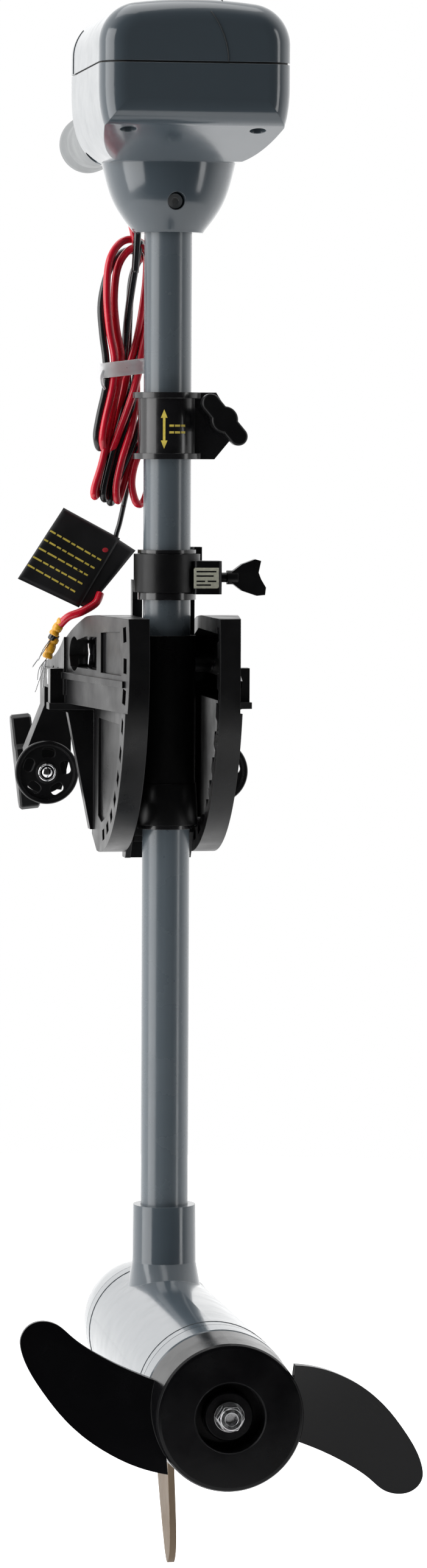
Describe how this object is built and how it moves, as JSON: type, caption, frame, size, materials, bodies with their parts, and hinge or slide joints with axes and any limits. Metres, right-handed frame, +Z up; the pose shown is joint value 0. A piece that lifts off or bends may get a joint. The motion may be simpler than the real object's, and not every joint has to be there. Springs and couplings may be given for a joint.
{
  "type": "trolling motor",
  "caption": "Transom-mount electric outboard: rounded control head with telescoping twist tiller, tube shaft, tilting screw-clamp bracket and finned motor pod with swept-blade propeller.",
  "frame": {"origin": "centre of the seat under the bracket's bridge, which rests on top of the transom", "axes": "+Z up along the shaft, +Y forward to the boat along the tiller, +X to starboard"},
  "size_m": [0.2306, 0.631, 0.9321],
  "materials": {
    "grey_paint": "glossy dark slate-grey paint",
    "composite_grey": "satin grey composite tube",
    "black_plastic": "satin black moulded nylon",
    "gloss_black": "gloss black",
    "grey_rubber": "light grey grip rubber",
    "black_rubber": "black rubber",
    "chrome": "polished",
    "steel": "satin stainless",
    "aluminium": "plain",
    "copper": "copper",
    "magnet": "ferrite",
    "brush_carbon": "carbon",
    "board_green": "circuit board",
    "clear_lens": "smoked clear",
    "wire_red": "glossy red insulation",
    "wire_black": "glossy black insulation",
    "tie_clear": "translucent nylon",
    "tag_black": "black card",
    "crimp_yellow": "yellow insulation"
  },
  "bodies": {
    "clamp_bracket": {"left_bracket_plate": "black_plastic", "right_bracket_plate": "black_plastic", "bracket_bridge": "black_plastic", "bridge_bolts": "steel", "tilt_pivot_bolt": "chrome"},
    "tilt_frame": {"tilt_body": "black_plastic", "lower_bushing": "gloss_black", "warning_tag": "tag_black", "cable_crimps": "crimp_yellow", "lock_spring": "steel"},
    "tilt_lock": {"tilt_lock_pin": "steel", "tilt_release_handle": "black_plastic"},
    "tension_knob": {"tension_knob": "black_plastic"},
    "steering_bush": {"steering_bushing": "gloss_black", "lead_wire": "wire_black"},
    "shaft_assembly": {"shaft_tube": "composite_grey", "head_base": "grey_paint", "head_top_cover": "grey_paint", "head_gasket": "black_rubber", "head_screws": "steel", "battery_meter_lens": "clear_lens", "battery_meter_board": "board_green", "speed_switch_body": "black_plastic", "tiller_outer_tube": "composite_grey", "motor_wires": "wire_black", "power_cable_red": "wire_red", "power_cable_black": "wire_black", "cable_tie": "tie_clear", "motor_housing": "grey_paint", "motor_nose_cone": "grey_paint", "motor_end_bell": "grey_paint", "through_bolts": "steel", "motor_bearings": "steel", "shaft_seal": "black_rubber", "field_magnets": "magnet", "brush_holder": "black_plastic", "brushes": "brush_carbon", "skeg": "grey_paint"},
    "meter_button": {"battery_meter_button": "black_rubber"},
    "speed_switch": {"speed_switch_shaft": "black_plastic"},
    "lock_collar": {"tiller_lock_collar": "black_plastic"},
    "tiller_slide": {"tiller_inner_tube": "aluminium"},
    "grip": {"grip": "grey_rubber", "grip_core": "black_plastic"},
    "depth_collar": {"depth_collar": "gloss_black", "depth_collar_bolt": "steel"},
    "depth_knob": {"depth_collar_knob": "black_plastic"},
    "rotor": {"rotor_shaft": "steel", "armature_core": "steel", "armature_windings": "copper", "commutator": "copper", "propeller": "gloss_black", "drive_pin": "steel", "prop_nut": "chrome"},
    "left_pad": {"left_clamp_pad": "black_plastic"},
    "left_screw": {"left_clamp_screw": "steel", "left_clamp_handle": "black_plastic"},
    "right_pad": {"right_clamp_pad": "black_plastic"},
    "right_screw": {"right_clamp_screw": "steel", "right_clamp_handle": "black_plastic"}
  },
  "joints": [
    {"name": "tilt", "type": "hinge", "parent": "clamp_bracket", "child": "tilt_frame", "pos_m": [0, -0.055, 0.025], "axis": [-1, 0, 0], "range_deg": [0, 66.5]},
    {"name": "tilt_lock_slide", "type": "slide", "parent": "tilt_frame", "child": "tilt_lock", "axis": [0, -0.2164, -0.9763], "range_m": [0, 0.0058], "deforming": ["lock_spring"]},
    {"name": "tension_knob_turn", "type": "hinge", "parent": "tilt_frame", "child": "tension_knob", "pos_m": [0.04, -0.11, 0.073], "axis": [1, 0, 0], "range_deg": [-180, 180]},
    {"name": "steer", "type": "hinge", "parent": "tilt_frame", "child": "steering_bush", "pos_m": [0, -0.101, 0.0755], "axis": [0, 0, 1], "range_deg": [-180, 180], "deforming": ["lead_wire"]},
    {"name": "depth", "type": "slide", "parent": "steering_bush", "child": "shaft_assembly", "axis": [0, 0, 1], "range_m": [-0.02, 0.2], "deforming": ["lead_wire"]},
    {"name": "depth_collar_slide", "type": "slide", "parent": "shaft_assembly", "child": "depth_collar", "axis": [0, 0, 1], "range_m": [-0.025, 0.05]},
    {"name": "depth_knob_turn", "type": "hinge", "parent": "depth_collar", "child": "depth_knob", "pos_m": [0.0305, -0.121, 0.1675], "axis": [0, 1, 0], "range_deg": [-180, 180]},
    {"name": "meter_button_press", "type": "slide", "parent": "shaft_assembly", "child": "meter_button", "axis": [0, 0, -1], "range_m": [0, 0.0015], "stiffness_N_per_m": 800, "springref_m": -0.001},
    {"name": "tiller_extend", "type": "slide", "parent": "shaft_assembly", "child": "tiller_slide", "axis": [0, 1, 0], "range_m": [0, 0.15]},
    {"name": "tiller_collar_turn", "type": "hinge", "parent": "shaft_assembly", "child": "lock_collar", "pos_m": [0, 0.124, 0.352], "axis": [0, 1, 0], "range_deg": [0, 90]},
    {"name": "grip_twist", "type": "hinge", "parent": "tiller_slide", "child": "grip", "pos_m": [0, 0.169, 0.352], "axis": [0, 1, 0], "range_deg": [-54, 90]},
    {"name": "speed_switch_turn", "type": "hinge", "parent": "shaft_assembly", "child": "speed_switch", "pos_m": [0, -0.141, 0.352], "axis": [0, 1, 0], "range_deg": [-55, 91]},
    {"name": "prop_spin", "type": "hinge", "parent": "shaft_assembly", "child": "rotor", "pos_m": [0, -0.201, -0.3914], "axis": [0, -1, 0], "continuous": true},
    {"name": "left_pad_slide", "type": "slide", "parent": "clamp_bracket", "child": "left_pad", "axis": [0, -1, 0], "range_m": [0, 0.054]},
    {"name": "left_screw_turn", "type": "hinge", "parent": "left_pad", "child": "left_screw", "pos_m": [-0.054, 0.099, -0.0537], "axis": [0, -1, 0], "range_deg": [-20, 6500]},
    {"name": "right_pad_slide", "type": "slide", "parent": "clamp_bracket", "child": "right_pad", "axis": [0, -1, 0], "range_m": [0, 0.054]},
    {"name": "right_screw_turn", "type": "hinge", "parent": "right_pad", "child": "right_screw", "pos_m": [0.054, 0.099, -0.0537], "axis": [0, -1, 0], "range_deg": [-20, 6500]}
  ],
  "couplings": [
    {"joint": "speed_switch_turn", "follows": "grip_twist", "ratio": 1},
    {"joint": "left_screw_turn", "follows": "left_pad_slide", "rad_per_m": 2094.4},
    {"joint": "right_screw_turn", "follows": "right_pad_slide", "rad_per_m": 2094.4}
  ]
}
